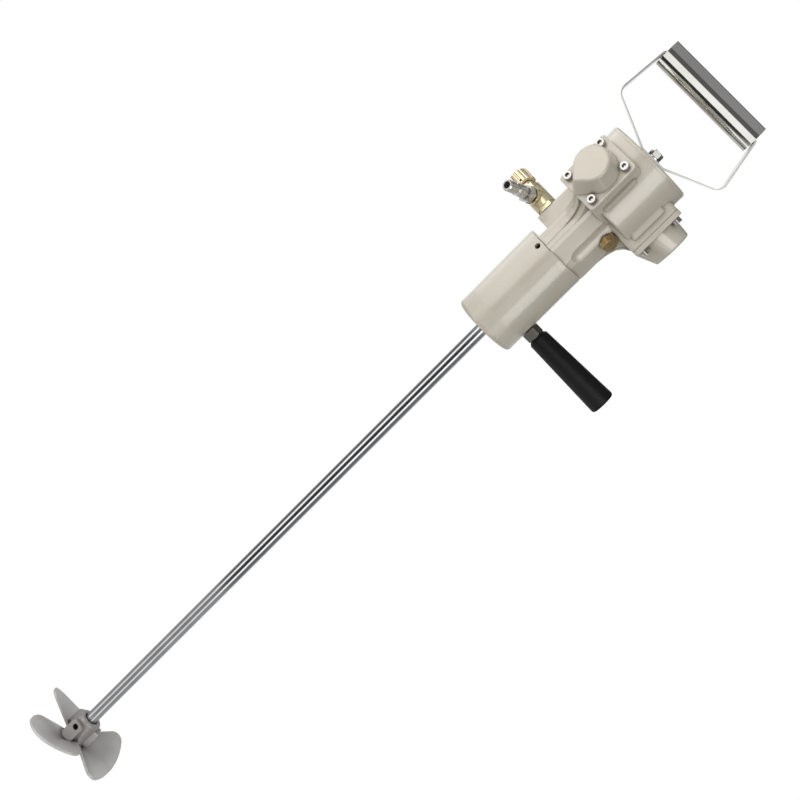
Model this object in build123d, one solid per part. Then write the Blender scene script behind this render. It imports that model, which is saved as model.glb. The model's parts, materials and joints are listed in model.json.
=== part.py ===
from build123d import *
import math
import os

# Hand-held air agitator: three-cylinder radial air motor, bearing housing, long shaft and propeller.
# Millimetres. Z is the shaft axis, up towards the bail. The origin is the middle of the bail's grip.
# Angles are bearings round Z, measured from +X, which is also the side of the side handle.

# ---- fits -----------------------------------------------------------------------------------
seat_gap = 0.02          # between a piece and the fixed seat that holds it, on the radius
thread_gap = 0.05        # between a screw and its thread, on the radius
running_gap = 0.05       # between a turning piece and what guides it, on the radius
contact_gap = 0.3        # between a piece that moves and one that it comes up against

# ---- bail and grip --------------------------------------------------------------------------
grip_radius = 17.4
grip_wall = 2.2
grip_length = 138.0
grip_shift = -3.6        # the grip's middle, off the shaft axis
grip_end_gap = 0.5
strap_width = 30.0
strap_thickness = 2.0
strap_knee_x = 81.5
strap_knee_drop = 65.0   # from the grip's axis down to the knees
strap_base_length = 31.0
strap_corner_bend = 5.0
strap_knee_bend = 12.0
strap_foot_bend = 6.0
bail_height = 93.2       # from the grip's axis down to the seat on the end cover

# ---- end cover screws, countersunk ----------------------------------------------------------
end_screw_count = 6
end_screw_radius = 2.45
end_screw_head = 4.8
end_screw_length = 15.0
end_screw_sink = 2.6
end_screw_inset = 8.4    # from the body's side in to the screws

# ---- motor casing ---------------------------------------------------------------------------
cover_rim_drop = 1.8     # from the bail seat down to the rim of the end cover
cover_thickness = 4.5
cover_edge = 2.5
cover_boss_radius = 17.0
body_radius = 54.8
body_height = 74.9
cylinder_bearings = (0.0, -120.0, 120.0)
cylinder_drop = 47.0     # from the body's top face down to the cylinder axes
boss_face = 58.65        # boss face from the shaft axis
boss_width = 59.0
boss_height = 68.5
boss_corner = 4.5
pad_width = 67.0         # raised pad behind each boss
pad_height = 48.0
pad_face = 50.5
crank_bore = 35.0        # radius of the crank chamber
crank_chamber_depth = 73.5
nose_height = 68.6
body_foot_edge = 2.5
nose_flat = 30.6         # flat between two nose lobes, from the shaft axis
nose_edge = 2.0
lobe_face = 39.0         # flat of a nose lobe from the shaft axis
lobe_half_width = 10.7
port_side = -60.0        # the side with the brass plug is thicker, with two facets
facet_turn = 22.0        # its facets, from the middle of that side
facet_face = 36.5
facet_start = 7.6
facet_end = 38.0
port_boss_radius = 11.5
flare_rise = 42.0        # how far the lobe's flare runs down from the body
flare_reach = 55.5
valley_depth = 2.4       # hollow down the middle of each side
valley_width = 17.0
valley_head = 1.5        # from the body's foot down to the valley's top
valley_foot = 10.0       # from the nose's lower edge up to the valley's scooped end
spigot_radius = 28.5
spigot_length = 12.0

# ---- cylinders ------------------------------------------------------------------------------
gasket_thickness = 0.5
flange_thickness = 6.45
cap_foot_radius = 25.8
cap_face_radius = 21.0
cap_rise = 2.5           # the cap's face sits a little above the cylinder's axis
cap_face = 90.0          # cap face from the shaft axis
cap_edge = 3.0
cap_roof = 4.0
ridge_tip_radius = 5.0
ridge_crest = 24.2       # lowest point of the cap's face, below the cylinder's axis
ridge_crest_radius = 3.0
liner_radius = 17.5
cylinder_bore = 15.0
liner_inner_end = 37.0
head_space = 2.5         # from the liner's end to the cap's roof
cover_screw_side = 21.5
cover_screw_rise = 24.7
cover_screw_radius = 2.95
cover_screw_head = 5.0
cover_screw_head_height = 6.0
cover_screw_grip = 14.0  # thread in the casing
duct_radius = 2.0
duct_drop = 27.5         # duct in the cover flange, below the cylinder axis

# ---- pistons --------------------------------------------------------------------------------
piston_gap = 0.1
piston_length = 28.0
piston_crown_gap = 1.0   # from the crown at top dead centre to the liner's end
piston_roof = 5.0
piston_wall = 4.4
ring_height = 2.0
ring_depth = 1.8
ring_lands = (3.0, 8.0)  # from the crown to each ring
pin_radius = 4.0
pin_end_gap = 1.5        # from the pin's ends to the bore
pin_drop = 17.0          # from the crown to the gudgeon pin
small_end_radius = 7.5
small_end_length = 14.0
rod_width = 9.0
rod_depth = 11.0
shoe_radius = 11.0
shoe_thickness = 3.5

# ---- crankshaft -----------------------------------------------------------------------------
throw = 10.0
crank_bearing = -120.0   # bearing of the crankpin at rest
crankpin_radius = 12.0
bush_wall = 1.5
drive_ring_radius = 24.0
drive_ring_flat = 20.0
drive_ring_height = 28.0
web_gap = 0.5
web_thickness = 10.0
web_radius = 29.0
web_neck_radius = 14.5
journal_radius = 7.5
journal_shoulder = 10.0
key_length = 14.0
crank_tail = 22.0        # crankshaft below the nose spigot

# ---- bearings, all of one type --------------------------------------------------------------
bearing_outer = 17.5
bearing_width = 11.0
bearing_pitch = 12.5
ball_radius = 3.0
ball_count = 7
race_gap = 0.05
ring_land = 1.9          # race shoulders, either side of the pitch radius
cage_half_width = 0.8
cage_height = 8.0

# ---- rotary valve ---------------------------------------------------------------------------
valve_spool_radius = 13.0
sleeve_radius = 16.0
sleeve_drop = 3.0        # below the lower crankshaft bearing
sleeve_length = 40.0
port_radius = 2.5
seal_radius = 15.0
seal_height = 7.0

# ---- lower housing --------------------------------------------------------------------------
housing_radius = 39.75
housing_height = 119.0
housing_foot_edge = 5.0
housing_top_edge = 1.8
set_screw_bearing = -124.0
set_screw_drop = 7.0
set_screw_radius = 3.5
set_screw_length = 6.0
coupling_bore = 26.0
coupling_radius = 16.0
coupling_length = 42.0
coupling_gap = 3.0
bearing_pair_lift = 13.0  # from the housing's foot up to the pair of bearings
bearing_pair_length = 43.0
circlip_thickness = 1.2
circlip_depth = 1.0
shaft_seal_drop = 1.0

# ---- shaft and propeller --------------------------------------------------------------------
shaft_radius = 8.0
shaft_exposed = 708.6
hub_radius = 15.8
hub_height = 41.0
hub_top_edge = 3.5
hub_foot_edge = 2.0
hub_pads = (-110.0, 10.0, 130.0)  # bearings of the three raised pads
hub_pad_face = 20.5
hub_pad_width = 18.0
hub_pad_height = 28.0
hub_pad_drop = 6.5       # from the hub's top down to the pads
hub_pad_corner = 5.0
hub_screw_radius = 4.0
hub_screw_drop = 13.0
hub_screw_count = 2
hub_screw_sink = 1.5
blade_count = 3
blade_bearing = 6.9      # middle of the first blade's tip
blade_tip = 64.2
blade_thickness = 3.6
blade_corner = 13.0
blade_tip_half = 45.7    # half angles that a blade spans at its tip and, on each side, at the hub
blade_lead_half = 39.5
blade_trail_half = 58.0
blade_drop = 38.8        # from the hub's top down to the middle of a blade's root
blade_turn = 6.6         # the helix is worked out from here, past the middle of the tip
blade_hub_pitch = 70.0   # rise in one turn
blade_tip_pitch = 156.0
blade_camber = 5.3
blade_reflex = 5.35
blade_lift = 0.17        # rise of the blade for each millimetre outward

# ---- side handle ----------------------------------------------------------------------------
handle_drop = 83.5       # from the housing's top down to the handle's axis
handle_stud_radius = 6.0
handle_stud_depth = 17.0
handle_nut_across = 19.0
handle_nut_height = 11.6
handle_length = 110.0
handle_root_radius = 12.75
handle_end_radius = 16.0
handle_stud_reach = 60.0

# ---- air inlet ------------------------------------------------------------------------------
inlet_bearing = 145.0
inlet_drop = 39.2        # from the nose's top down to the inlet's axis
inlet_face = 48.5
inlet_boss_width = 28.0
inlet_boss_foot = 16.0
valve_thread = 6.5
valve_thread_length = 10.0
valve_hex_across = 24.0
valve_hex_height = 6.0
valve_radius = 13.0
valve_length = 36.0
branch_reach = 25.4      # from the inlet face to the branch's axis
branch_radius = 10.5
branch_length = 17.5
branch_tilt = 12.0
bonnet_across = 22.0
bonnet_hex_height = 8.0
bonnet_neck_radius = 8.5
bonnet_neck_height = 7.0
bonnet_tip_radius = 6.0  # the tip that the knob turns on
bonnet_tip_height = 7.0
knob_groove_width = 3.3
knob_groove_depth = 1.2
needle_radius = 3.0
needle_travel = 3.0
needle_end = 7.0         # from the knob's end to the needle's, with the valve shut
knob_radius = 13.5
knob_length = 19.0
knob_gap = 0.5
knob_screw_radius = 1.5
knob_screw_bearing = 90.0

# ---- air plug -------------------------------------------------------------------------------
plug_seal_height = 2.5
plug_hex_across = 19.0
plug_hex_height = 8.5
plug_barrel_radius = 7.6
plug_tip_radius = 6.9
plug_bore = 4.5
plug_reach = 64.0        # tip from the valve's axis

# ---- brass port plug and silencer -----------------------------------------------------------
oil_plug_bearing = -38.0
oil_plug_gap = 0.8       # from the boss above it to the plug's washer
oil_plug_across = 19.0
oil_plug_hex = 7.0
oil_plug_button = 1.0
oil_washer = 1.2
silencer_bearing = 82.0
silencer_drop = 38.0
silencer_radius = 8.0
silencer_length = 24.0

# ---- bail bolt ------------------------------------------------------------------------------
bolt_radius = 5.0
bolt_across = 14.0
bolt_head = 7.7
bolt_washer_radius = 8.4
bolt_washer = 1.6
bolt_grip = 7.5          # thread in the end cover

# ---- heights worked out from the sizes above ------------------------------------------------
seat_z = -bail_height
cover_top = seat_z - cover_rim_drop
body_top = cover_top - cover_thickness
body_foot = body_top - body_height
nose_foot = body_foot - nose_height
spigot_foot = nose_foot - spigot_length
housing_foot = nose_foot - housing_height
cylinder_z = body_top - cylinder_drop
chamber_floor = body_top - crank_chamber_depth
upper_bearing_top = body_top - 3.5
lower_bearing_top = chamber_floor
sleeve_top = chamber_floor - bearing_width - sleeve_drop
sleeve_foot = sleeve_top - sleeve_length
crank_seal_top = sleeve_foot - 2.0
crank_foot = spigot_foot - crank_tail
coupling_top = spigot_foot - coupling_gap
coupling_foot = coupling_top - coupling_length
shaft_head = crank_foot - 3.0
pair_foot = housing_foot + bearing_pair_lift
pair_top = pair_foot + bearing_pair_length
hub_top = housing_foot - shaft_exposed
hub_foot = hub_top - hub_height
hub_screw_z = hub_top - hub_screw_drop
handle_z = nose_foot - handle_drop
inlet_z = body_foot - inlet_drop
oil_washer_radius = oil_plug_across / 2 + 0.5
oil_plug_z = cylinder_z - boss_height / 2 - oil_plug_gap - oil_washer_radius
silencer_z = body_foot - silencer_drop
end_screw_circle = body_radius - end_screw_inset
end_screw_bearings = [30 + 360 / end_screw_count * k for k in range(end_screw_count)]
flange_foot = boss_face + gasket_thickness
flange_face = flange_foot + flange_thickness
liner_end = cap_face - cap_roof - head_space
crown = liner_end - piston_crown_gap
bearing_tops = (upper_bearing_top, lower_bearing_top, pair_top, pair_foot + bearing_width)


# ---- general shapes -------------------------------------------------------------------------
def rod(radius, low, high):
    # a round bar on Z between two heights
    return Pos(0, 0, (low + high) / 2) * Cylinder(radius, high - low)


def tube(outer, inner, low, high):
    return rod(outer, low, high) - rod(inner, low, high)


def block(length, width, low, high):
    return Pos(0, 0, (low + high) / 2) * Box(length, width, high - low)


def hexagon(across, low, high):
    return Pos(0, 0, low) * extrude(RegularPolygon(across / 2, 6, major_radius=False), high - low)


def turned(points):
    # a closed half-section of (radius, height) points, turned round Z
    return revolve(Plane.XZ * make_face(Polyline(*points, close=True)), Axis.Z)


def radial(shape, bearing, height):
    # lays a shape that stands on Z along a radius: its Z points outward and its X down
    return Rot(0, 0, bearing) * Pos(0, 0, height) * Rot(0, 90, 0) * shape


def group(shapes):
    # separate solids that share one node
    solids = []
    for shape in shapes:
        solids += shape.solids()
    return Compound(children=solids)


def cap_screw(radius, length, head_radius, head_height):
    # seat of the head at height 0, hexagon socket in its top
    screw = rod(radius, -length, 0) + rod(head_radius, 0, head_height)
    return screw - hexagon(head_radius, head_height / 2, head_height + 1)


def grub_screw(radius, length):
    # outer end at height 0
    return rod(radius, -length, 0) - hexagon(radius, -length / 2, 1)


def around(shape, bearings):
    return [Rot(0, 0, bearing) * shape for bearing in bearings]


# ---- bail -----------------------------------------------------------------------------------
def strap_line(offset):
    # the strap's bent outline, moved inward by offset
    foot = strap_base_length / 2
    corner = grip_length / 2 + grip_end_gap + strap_thickness - offset
    knee = strap_knee_x - offset
    top = strap_thickness / 2 - offset
    corners = [
        (foot, -bail_height + offset, strap_foot_bend),
        (knee, -strap_knee_drop, strap_knee_bend - offset),
        (grip_shift + corner, top, strap_corner_bend - offset),
        (grip_shift - corner, top, strap_corner_bend - offset),
        (-knee, -strap_knee_drop, strap_knee_bend - offset),
        (-foot, -bail_height + offset, strap_foot_bend),
    ]
    face = make_face(Polyline(*[(x, z) for x, z, bend in corners], close=True))
    for x, z, bend in corners:
        vertex = face.vertices().sort_by_distance((x, z, 0))[0]
        face = fillet(vertex, bend)
    return face


def bail_strap():
    band = strap_line(0) - strap_line(strap_thickness)
    strap = extrude(Plane.XZ * band, strap_width / 2, both=True)
    return strap - rod(bolt_radius + thread_gap, seat_z - 1, seat_z + strap_thickness + 1)


def bail_grip():
    grip = tube(grip_radius, grip_radius - grip_wall, -grip_length / 2, grip_length / 2)
    return Pos(grip_shift, 0, 0) * Rot(0, 90, 0) * grip


def bail_bolt():
    top = seat_z + strap_thickness + bolt_washer
    head = hexagon(bolt_across, top, top + bolt_head)
    rim = turned([(0, top), (bolt_across / 2, top), (bolt_across / 2 + 1.4, top + 1.2),
                  (bolt_across / 2 + 1.4, top + bolt_head - 1.2), (bolt_across / 2, top + bolt_head),
                  (0, top + bolt_head)])
    return (head & rim) + rod(bolt_radius, seat_z - bolt_grip, top)


def bail_washer():
    low = seat_z + strap_thickness
    return tube(bolt_washer_radius, bolt_radius + thread_gap, low, low + bolt_washer)


# ---- end cover ------------------------------------------------------------------------------
def end_screw(gap):
    head = turned([(0, cover_top), (end_screw_head + gap, cover_top),
                   (end_screw_radius + gap, cover_top - end_screw_sink), (0, cover_top - end_screw_sink)])
    return head + rod(end_screw_radius + gap, cover_top - end_screw_length - gap, cover_top - 0.5)


def end_cover():
    spigot = crank_bore - seat_gap
    pocket = bearing_outer + seat_gap
    pocket_foot = upper_bearing_top - bearing_width - 1.5
    cover = turned([(0, seat_z), (cover_boss_radius, seat_z), (cover_boss_radius + 6, cover_top + 1.6),
                    (end_screw_circle - 7, cover_top), (body_radius, cover_top), (body_radius, body_top),
                    (spigot, body_top), (spigot, pocket_foot), (pocket, pocket_foot),
                    (pocket, upper_bearing_top), (journal_radius + 2.5, upper_bearing_top),
                    (journal_radius + 2.5, upper_bearing_top + 1), (0, upper_bearing_top + 1)])
    rim = cover.edges().filter_by(GeomType.CIRCLE).sort_by(lambda e: -e.radius * 1000 - e.center().Z)
    cover = fillet(rim[0], cover_edge)
    cover -= rod(bolt_radius + thread_gap, seat_z - bolt_grip - 0.5, seat_z + 1)
    screw = Pos(end_screw_circle, 0, 0) * end_screw(thread_gap)
    return cover - around(screw, end_screw_bearings)


def end_cover_screws():
    screw = Pos(end_screw_circle, 0, 0) * end_screw(0)
    screw -= Pos(end_screw_circle, 0, 0) * hexagon(3, cover_top - 1.8, cover_top + 1)
    return group(around(screw, end_screw_bearings))


# ---- motor casing ---------------------------------------------------------------------------
def polar(radius, bearing):
    return (radius * math.cos(math.radians(bearing)), radius * math.sin(math.radians(bearing)))


def nose_section():
    # flats between three lobes; the side with the brass plug is thicker and has two facets
    points = []
    for lobe in sorted(cylinder_bearings):
        edge_turn = math.degrees(math.atan2(lobe_half_width, lobe_face))
        edge_reach = math.hypot(lobe_half_width, lobe_face)
        points += [polar(edge_reach, lobe - edge_turn), polar(edge_reach, lobe + edge_turn)]
        if lobe < port_side < lobe + 120:
            for side in (-1, 1):
                turns = (facet_end, facet_start) if side < 0 else (facet_start, facet_end)
                for turn in turns:
                    reach = facet_face / math.cos(math.radians(turn - facet_turn))
                    points.append(polar(reach, port_side + side * turn))
    return make_face(Polyline(*points, close=True))


def lobe_flare():
    # the lobe sweeps out in a hollow curve to the foot of the cylinder boss
    foot = body_foot - flare_rise
    profile = make_face(
        Line((lobe_face - 12, foot), (lobe_face, foot))
        + ThreePointArc((lobe_face, foot), (lobe_face + 4.4, body_foot - 15), (flare_reach, body_foot - 2))
        + Line((flare_reach, body_foot - 2), (flare_reach, body_foot + 2))
        + Line((flare_reach, body_foot + 2), (lobe_face - 12, body_foot + 2))
        + Line((lobe_face - 12, body_foot + 2), (lobe_face - 12, foot))
    )
    return extrude(Plane.XZ * profile, lobe_half_width, both=True)


def cylinder_boss():
    # the cover's seat, with a raised pad behind it
    boss = extrude(RectangleRounded(boss_height, boss_width, boss_corner), boss_face)
    pad = extrude(RectangleRounded(pad_height, pad_width, boss_corner), pad_face)
    return radial(boss + pad, 0, cylinder_z)


def valley():
    # a rounded groove that ends in a scoop
    radius = (valley_width**2 / 4 + valley_depth**2) / (2 * valley_depth)
    low = nose_foot + valley_foot + valley_width / 2
    groove = rod(radius, low, body_foot - valley_head) + Pos(0, 0, low) * Sphere(radius)
    return Pos(radius - valley_depth, 0, 0) * groove


def casing_duct():
    # air way from the rotary valve up to the cylinder boss
    start = Vector(sleeve_radius - 2, 0, sleeve_top - sleeve_length / 2)
    end = Vector(boss_face + 1, 0, cylinder_z - duct_drop)
    run = end - start
    return Plane(start, z_dir=run) * rod(duct_radius, 0, run.length)


def motor_casing():
    nose = Pos(0, 0, nose_foot) * extrude(nose_section(), nose_height + 1)
    nose = fillet(nose.edges().filter_by(Axis.Z), nose_edge)
    nose += around(lobe_flare(), cylinder_bearings)
    for side in (port_side - 120, port_side, port_side + 120):
        face = facet_face if side == port_side else nose_flat
        nose -= Rot(0, 0, side) * Pos(face, 0, 0) * valley()
    body = rod(body_radius, body_foot, body_top)
    body = fillet(body.edges().sort_by(Axis.Z)[0], body_foot_edge)
    casing = body + around(cylinder_boss(), cylinder_bearings) + nose
    casing += radial(rod(port_boss_radius, 0, facet_face), silencer_bearing, silencer_z)
    inlet_low = inlet_z - inlet_boss_foot
    boss = Pos(inlet_face / 2, 0, (inlet_low + body_foot) / 2)
    inlet = boss * Box(inlet_face, inlet_boss_width, body_foot - inlet_low)
    inlet = fillet(inlet.edges().filter_by(Axis.Z).group_by(Axis.X)[-1], 5)
    casing += Rot(0, 0, inlet_bearing) * inlet
    casing += rod(spigot_radius, spigot_foot, nose_foot)
    casing -= rod(crank_bore, chamber_floor, body_top + 1)
    casing -= rod(bearing_outer + seat_gap, chamber_floor - bearing_width, chamber_floor + 1)
    casing -= rod(sleeve_radius + seat_gap, sleeve_foot, chamber_floor)
    casing -= rod(journal_radius + 1.5, crank_seal_top - 1, sleeve_foot + 1)
    casing -= rod(seal_radius + seat_gap, spigot_foot - 1, crank_seal_top)
    liner_hole = rod(liner_radius + seat_gap, liner_inner_end, boss_face + 1)
    liner_hole += rod(cylinder_bore + 0.5, 20, liner_inner_end + 1)
    screw_hole = rod(cover_screw_radius + thread_gap, boss_face - cover_screw_grip - 1, boss_face + 1)
    for bearing in cylinder_bearings:
        casing -= radial(liner_hole, bearing, cylinder_z)
        casing -= Rot(0, 0, bearing) * casing_duct()
        casing -= [radial(Pos(x, y, 0) * screw_hole, bearing, cylinder_z) for x, y in cover_screw_spots()]
    end_hole = rod(end_screw_radius + thread_gap, cover_top - end_screw_length - 1, body_top + 1)
    casing -= around(Pos(end_screw_circle, 0, 0) * end_hole, end_screw_bearings)
    inlet_hole = rod(valve_thread + thread_gap, inlet_face - valve_thread_length - 1, inlet_face + 1)
    inlet_hole += rod(port_radius * 1.6, sleeve_radius - 1, inlet_face)
    casing -= radial(inlet_hole, inlet_bearing, inlet_z)
    plug_hole = rod(valve_thread + thread_gap, facet_face - valve_thread_length - 1, facet_face + 1)
    plug_hole += rod(port_radius, sleeve_radius - 1, facet_face)
    casing -= radial(plug_hole, oil_plug_bearing, oil_plug_z)
    casing -= radial(plug_hole, silencer_bearing, silencer_z)
    return casing


# ---- cylinders ------------------------------------------------------------------------------
def cover_screw_spots():
    spots = []
    for x in (-cover_screw_rise, cover_screw_rise):
        for y in (-cover_screw_side, cover_screw_side):
            spots.append((x, y))
    return spots


def cap_outline(share):
    # a drop, from the cap's foot (share 0) to its face (share 1)
    radius = cap_foot_radius + (cap_face_radius - cap_foot_radius) * share
    tip_radius = ridge_tip_radius + (ridge_crest_radius - ridge_tip_radius) * share
    lowest = boss_height / 2 + (ridge_crest - boss_height / 2) * share
    rim = Pos(-cap_rise * share, 0) * Circle(radius).edge()
    tip = Pos(lowest - tip_radius, 0) * Circle(tip_radius).edge()
    return make_hull([rim, tip])


def cylinder_cover():
    flange = extrude(RectangleRounded(boss_height, boss_width, boss_corner), flange_thickness)
    flange = chamfer(flange.faces().sort_by(Axis.Z)[-1].edges(), 0.8)
    cover = Pos(0, 0, flange_foot) * flange
    cap = Pos(0, 0, flange_foot) * extrude(cap_outline(0), flange_thickness)
    cap += loft([Pos(0, 0, flange_face) * cap_outline(0), Pos(0, 0, cap_face) * cap_outline(1)])
    cap = fillet(cap.faces().sort_by(Axis.Z)[-1].edges(), cap_edge)
    cover += cap
    cover -= rod(liner_radius + seat_gap, flange_foot - 1, cap_face - cap_roof)
    cover -= Pos(duct_drop, 0, 0) * rod(duct_radius, flange_foot - 1, flange_face + 4)
    way_top = cap_face - cap_roof
    way = Plane.XZ * make_face(Polyline(
        (liner_radius - 1.5, way_top), (liner_radius - 0.2, way_top), (duct_drop, flange_face + 5),
        (duct_drop, flange_face + 1.5), (liner_radius - 1.5, flange_face + 1.5), close=True))
    cover -= extrude(way, duct_radius, both=True)
    hole = rod(cover_screw_radius + 0.25, flange_foot - 1, flange_face + 1)
    return cover - [Pos(x, y, 0) * hole for x, y in cover_screw_spots()]


def cover_gasket():
    gasket = extrude(RectangleRounded(boss_height - 0.6, boss_width - 0.6, boss_corner), gasket_thickness)
    gasket = Pos(0, 0, boss_face) * gasket
    hole = rod(cover_screw_radius + 0.25, boss_face - 1, flange_foot + 1)
    gasket -= [Pos(x, y, 0) * hole for x, y in cover_screw_spots()]
    gasket -= Pos(duct_drop, 0, 0) * rod(duct_radius, boss_face - 1, flange_foot + 1)
    return gasket - rod(liner_radius + 0.3, boss_face - 1, flange_foot + 1)


def cover_screw():
    screw = cap_screw(cover_screw_radius, flange_thickness + gasket_thickness + cover_screw_grip,
                      cover_screw_head, cover_screw_head_height)
    return Pos(0, 0, flange_face) * screw


def cylinder_liner():
    return tube(liner_radius, cylinder_bore, liner_inner_end, liner_end)


def piston():
    radius = cylinder_bore - piston_gap
    skirt = rod(radius, crown - piston_length, crown)
    skirt = chamfer(skirt.edges().sort_by(Axis.Z)[-1], 0.6)
    skirt -= rod(radius - piston_wall, crown - piston_length - 1, crown - piston_roof)
    pin_z = crown - pin_drop
    boss = Pos(0, 0, pin_z) * Rot(90, 0, 0) * Cylinder(pin_radius + 3, 2 * (radius - 1))
    boss -= block(40, small_end_length + 1, pin_z - 10, pin_z + 10)
    skirt += boss & rod(radius, crown - piston_length, crown)
    skirt -= Pos(0, 0, pin_z) * Rot(90, 0, 0) * Cylinder(pin_radius + seat_gap, 60)
    for land in ring_lands:
        skirt -= tube(radius + 1, radius - ring_depth, crown - land - ring_height, crown - land)
    return skirt


def piston_ring(land):
    radius = cylinder_bore - running_gap
    ring = tube(radius, radius - ring_depth + 0.1, crown - land - ring_height + seat_gap, crown - land - seat_gap)
    return ring - Pos(radius, 0, crown - land) * Box(8, 0.6, 8)


def gudgeon_pin():
    reach = cylinder_bore - pin_end_gap
    pin = tube(pin_radius, pin_radius - 2, -reach, reach)
    return Pos(0, 0, crown - pin_drop) * Rot(90, 0, 0) * pin


def piston_rod():
    pin_z = crown - pin_drop
    foot = throw + drive_ring_flat + contact_gap
    shoe = rod(shoe_radius, foot, foot + shoe_thickness)
    shank = block(rod_width, rod_depth, foot + 1, pin_z)
    eye = Pos(0, 0, pin_z) * Rot(90, 0, 0) * Cylinder(small_end_radius, small_end_length)
    rod_body = shoe + shank + eye
    return rod_body - Pos(0, 0, pin_z) * Rot(90, 0, 0) * Cylinder(pin_radius + seat_gap, 40)


# ---- crankshaft, drive ring and rotary valve ------------------------------------------------
def crank_key(centre_z, length):
    # a parallel key in the +X side of the journal
    return Pos(journal_radius, 0, centre_z) * Box(5, 5, length)


valve_key_z = sleeve_top - sleeve_length / 2
upper_key_z = crank_foot + key_length / 2 + 2
lower_key_z = shaft_head - key_length / 2 - 2


def crank_web(low, high):
    # counterweight opposite the crankpin
    web = rod(web_radius, low, high)
    web -= Pos(web_radius, 0, (low + high) / 2) * Box(2 * web_radius, 80, 20)
    neck = Pos(throw, 0, 0) * rod(web_neck_radius, low, high)
    return web + neck + block(throw, 2 * web_neck_radius, low, high)


def crankshaft():
    half = drive_ring_height / 2 + web_gap
    upper_low = cylinder_z + half
    lower_high = cylinder_z - half
    crank = Pos(throw, 0, 0) * rod(crankpin_radius, lower_high, upper_low)
    crank += crank_web(upper_low, upper_low + web_thickness)
    crank += crank_web(lower_high - web_thickness, lower_high)
    bearing_foot = upper_bearing_top - bearing_width
    crank += rod(journal_shoulder, upper_low, bearing_foot)
    crank += rod(journal_radius, bearing_foot, upper_bearing_top)
    crank += rod(journal_shoulder, lower_bearing_top, lower_high)
    crank += rod(journal_radius, crank_foot, lower_bearing_top)
    crank = Rot(0, 0, crank_bearing) * crank
    crank -= crank_key(valve_key_z, key_length)
    return crank - crank_key(upper_key_z, key_length)


def eccentric_bush():
    low = cylinder_z - drive_ring_height / 2
    high = cylinder_z + drive_ring_height / 2
    bush = tube(crankpin_radius + bush_wall, crankpin_radius + seat_gap, low, high)
    return Rot(0, 0, crank_bearing) * Pos(throw, 0, 0) * bush


def drive_ring():
    low = cylinder_z - drive_ring_height / 2
    high = cylinder_z + drive_ring_height / 2
    bore = crankpin_radius + bush_wall + running_gap
    ring = tube(drive_ring_radius, bore, low, high)
    waste = Pos(drive_ring_flat + 10, 0, cylinder_z) * Box(20, 60, drive_ring_height + 2)
    ring -= around(waste, cylinder_bearings)
    centre = polar(throw, crank_bearing)
    return Pos(centre[0], centre[1], 0) * ring


def rotary_valve():
    spool = tube(valve_spool_radius, journal_radius + seat_gap, sleeve_foot, sleeve_top)
    groove = tube(valve_spool_radius + 1, valve_spool_radius - 3, inlet_z - 4, inlet_z + 4)
    pocket = Pos(valve_spool_radius, 0, valve_key_z) * Box(6, 16, 12)
    spool -= [groove, Rot(0, 0, 180) * pocket]
    return spool - Pos(journal_radius, 0, valve_key_z) * Box(5, 5, key_length)


def valve_sleeve():
    sleeve = tube(sleeve_radius, valve_spool_radius + running_gap, sleeve_foot, sleeve_top)
    port = rod(port_radius, valve_spool_radius - 2, sleeve_radius + 2)
    sleeve -= [radial(port, bearing, valve_key_z) for bearing in cylinder_bearings]
    return sleeve - radial(port, inlet_bearing, inlet_z)


def lip_seal(shaft, top):
    # steel-backed seal with a hollow underside
    seal = tube(seal_radius, shaft + running_gap, top - seal_height, top)
    return seal - tube(seal_radius - 2, shaft + 2, top - seal_height - 1, top - 2)


# ---- bearings -------------------------------------------------------------------------------
def race(middle):
    return Pos(0, 0, middle) * Torus(bearing_pitch, ball_radius + race_gap)


def outer_ring(top):
    return tube(bearing_outer, bearing_pitch + ring_land, top - bearing_width, top) - race(top - bearing_width / 2)


def inner_ring(top):
    ring = tube(bearing_pitch - ring_land, journal_radius + seat_gap, top - bearing_width, top)
    return ring - race(top - bearing_width / 2)


def balls(top):
    ball = Pos(bearing_pitch, 0, top - bearing_width / 2) * Sphere(ball_radius)
    return around(ball, [360 / ball_count * k for k in range(ball_count)])


def cage(top):
    middle = top - bearing_width / 2
    band = tube(bearing_pitch + cage_half_width, bearing_pitch - cage_half_width,
                middle - cage_height / 2, middle + cage_height / 2)
    pocket = radial(rod(ball_radius + race_gap, bearing_pitch - 3, bearing_pitch + 3), 0, middle)
    return band - around(pocket, [360 / ball_count * k for k in range(ball_count)])


# ---- lower housing --------------------------------------------------------------------------
set_screw_bearings = [set_screw_bearing + 120 * k for k in range(3)]
set_screw_z = nose_foot - set_screw_drop


def lower_housing():
    housing = rod(housing_radius, housing_foot, nose_foot)
    housing = fillet(housing.edges().sort_by(Axis.Z)[0], housing_foot_edge)
    housing = fillet(housing.edges().sort_by(Axis.Z)[-1], housing_top_edge)
    housing -= rod(spigot_radius + thread_gap, spigot_foot - 0.5, nose_foot + 1)
    housing -= rod(coupling_bore, pair_top + circlip_thickness + 0.3, spigot_foot)
    housing -= rod(bearing_outer + seat_gap, pair_foot, spigot_foot)
    housing -= tube(bearing_outer + circlip_depth + 0.1, bearing_outer - 1, pair_top, pair_top + circlip_thickness)
    housing -= rod(shaft_radius + 4, housing_foot, pair_foot + 1)
    housing -= rod(seal_radius + seat_gap, housing_foot - 1, pair_foot - 3)
    screw_hole = rod(set_screw_radius + thread_gap, spigot_radius - 1, housing_radius + 1)
    housing -= [radial(screw_hole, bearing, set_screw_z) for bearing in set_screw_bearings]
    stud_hole = rod(handle_stud_radius + thread_gap, housing_radius - handle_stud_depth - 0.5, housing_radius + 1)
    return housing - radial(stud_hole, 0, handle_z)


def housing_set_screws():
    # they bear on the nose spigot
    screw = Pos(0, 0, spigot_radius + thread_gap + set_screw_length) * grub_screw(
        set_screw_radius, set_screw_length)
    return group([radial(screw, bearing, set_screw_z) for bearing in set_screw_bearings])


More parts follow.
